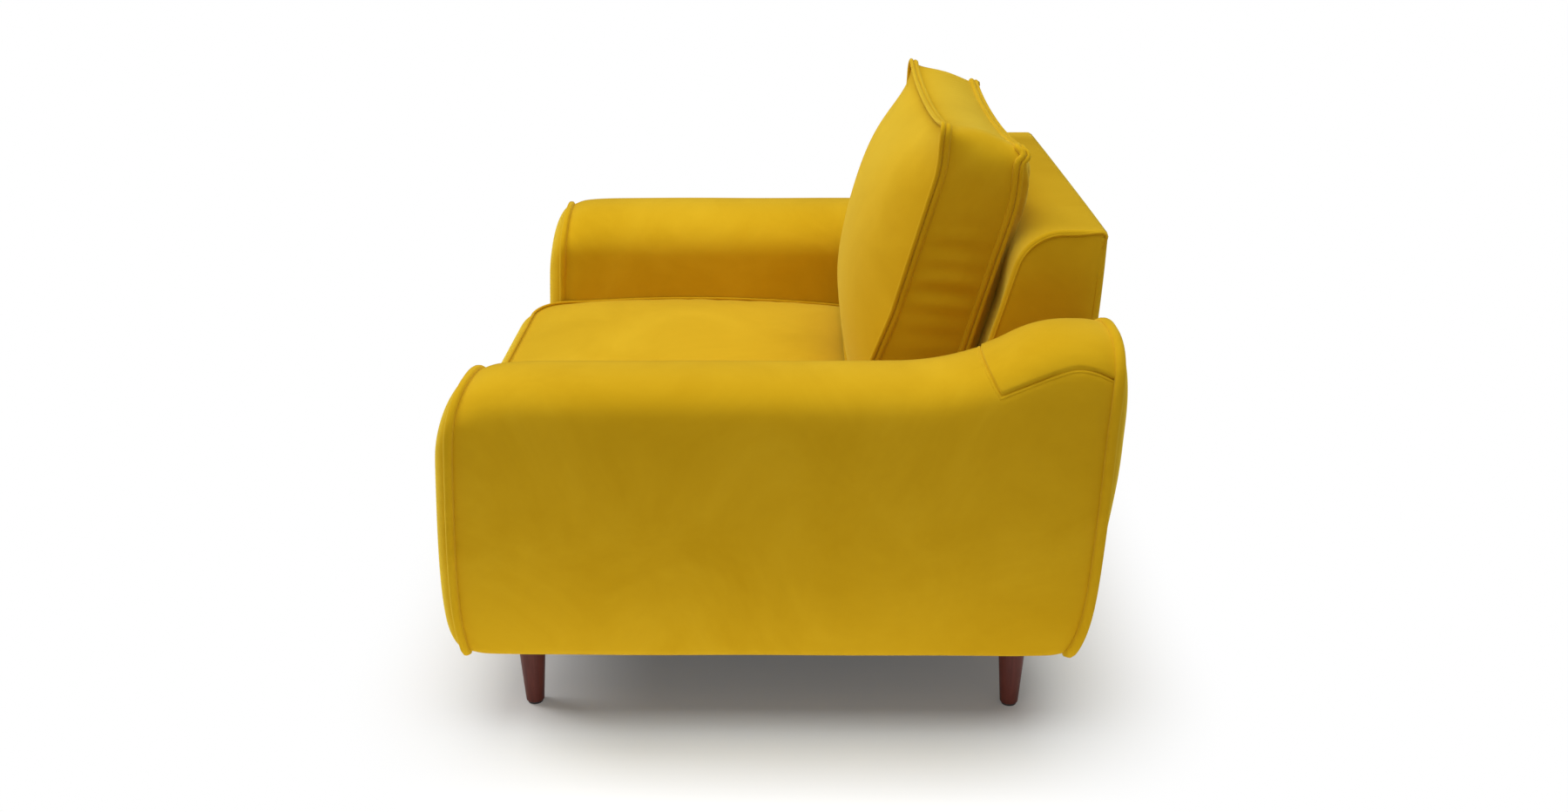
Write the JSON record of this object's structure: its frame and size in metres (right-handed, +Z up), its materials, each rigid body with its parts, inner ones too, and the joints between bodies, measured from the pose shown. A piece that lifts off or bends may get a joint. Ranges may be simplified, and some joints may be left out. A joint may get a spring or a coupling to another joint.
{
  "type": "upholstered sofa",
  "caption": "Wide upholstered sofa with padded round-topped arms, a loose seat cushion, a loose back cushion and short tapered wooden legs.",
  "frame": {"origin": "on the floor, under the middle of the overall width and depth", "axes": "+X to the right seen from the front, -Y towards the sitter's feet (the front), +Z up"},
  "size_m": [1.302, 1.019, 0.8614],
  "materials": {
    "velvet": "mustard yellow upholstery velvet, short pile",
    "leg_wood": "dark reddish brown stain, satin",
    "frame_wood": "bare planed softwood and plywood",
    "foam": "open-cell foam",
    "steel": "zinc plated",
    "webbing": "woven elastic strap",
    "deck_felt": "needled felt under a plain cloth",
    "dust_cloth": "black spun cloth",
    "back_board": "grey-brown fibre board",
    "glide_plastic": "moulded nylon",
    "zip_tape": "dyed nylon coil",
    "zip_metal": "dull plated"
  },
  "bodies": {
    "frame": {"arm_bolts": "steel", "arm_cover_left": "velvet", "arm_cover_right": "velvet", "arm_foam_left": "foam", "arm_foam_right": "foam", "arm_front_panel_left": "velvet", "arm_front_panel_right": "velvet", "arm_front_welt_left": "velvet", "arm_front_welt_right": "velvet", "arm_inner_boards": "frame_wood", "arm_outer_boards": "frame_wood", "arm_posts": "frame_wood", "arm_rear_panel_left": "velvet", "arm_rear_panel_right": "velvet", "arm_rear_welt_left": "velvet", "arm_rear_welt_right": "velvet", "arm_top_patch_left": "velvet", "arm_top_patch_right": "velvet", "arm_top_rails": "frame_wood", "back_board": "back_board", "back_cover": "velvet", "back_end_panel_left": "velvet", "back_end_panel_right": "velvet", "back_foam": "foam", "back_low_rail": "frame_wood", "back_posts": "frame_wood", "back_straps": "webbing", "back_top_rail": "frame_wood", "back_welts": "velvet", "border_cover": "velvet", "border_foam": "foam", "centre_rail": "frame_wood", "corner_blocks": "frame_wood", "dust_cover": "dust_cloth", "front_rail": "frame_wood", "leg_blocks": "frame_wood", "leg_bolts": "steel", "leg_front_left": "leg_wood", "leg_front_right": "leg_wood", "leg_glides": "glide_plastic", "leg_rear_left": "leg_wood", "leg_rear_right": "leg_wood", "outside_back": "velvet", "rear_rail": "frame_wood", "seat_deck": "deck_felt", "seat_springs": "steel", "side_rails": "frame_wood", "spring_clips": "steel", "spring_rail": "frame_wood", "t_nuts": "steel"},
    "seat_cushion": {"seat_cushion_core": "foam", "seat_cushion_cover": "velvet", "seat_cushion_welts": "velvet", "seat_cushion_zip": "zip_tape"},
    "back_cushion": {"back_cushion_core": "foam", "back_cushion_cover": "velvet", "back_cushion_welts": "velvet", "back_cushion_zip": "zip_tape"},
    "seat_zip_slider": {"seat_cushion_zip_slider": "zip_metal"},
    "back_zip_slider": {"back_cushion_zip_slider": "zip_metal"}
  },
  "joints": [
    {"name": "seat_cushion_slide", "type": "slide", "parent": "frame", "child": "seat_cushion", "axis": [0, -1, 0], "range_m": [0, 0.76]},
    {"name": "back_cushion_lift", "type": "slide", "parent": "frame", "child": "back_cushion", "axis": [0, 0.2756, 0.9613], "range_m": [0, 0.5]},
    {"name": "seat_zip_slide", "type": "slide", "parent": "seat_cushion", "child": "seat_zip_slider", "axis": [-1, 0, 0], "range_m": [0, 0.508]},
    {"name": "back_zip_slide", "type": "slide", "parent": "back_cushion", "child": "back_zip_slider", "axis": [-1, 0, 0], "range_m": [0, 0.508]}
  ]
}
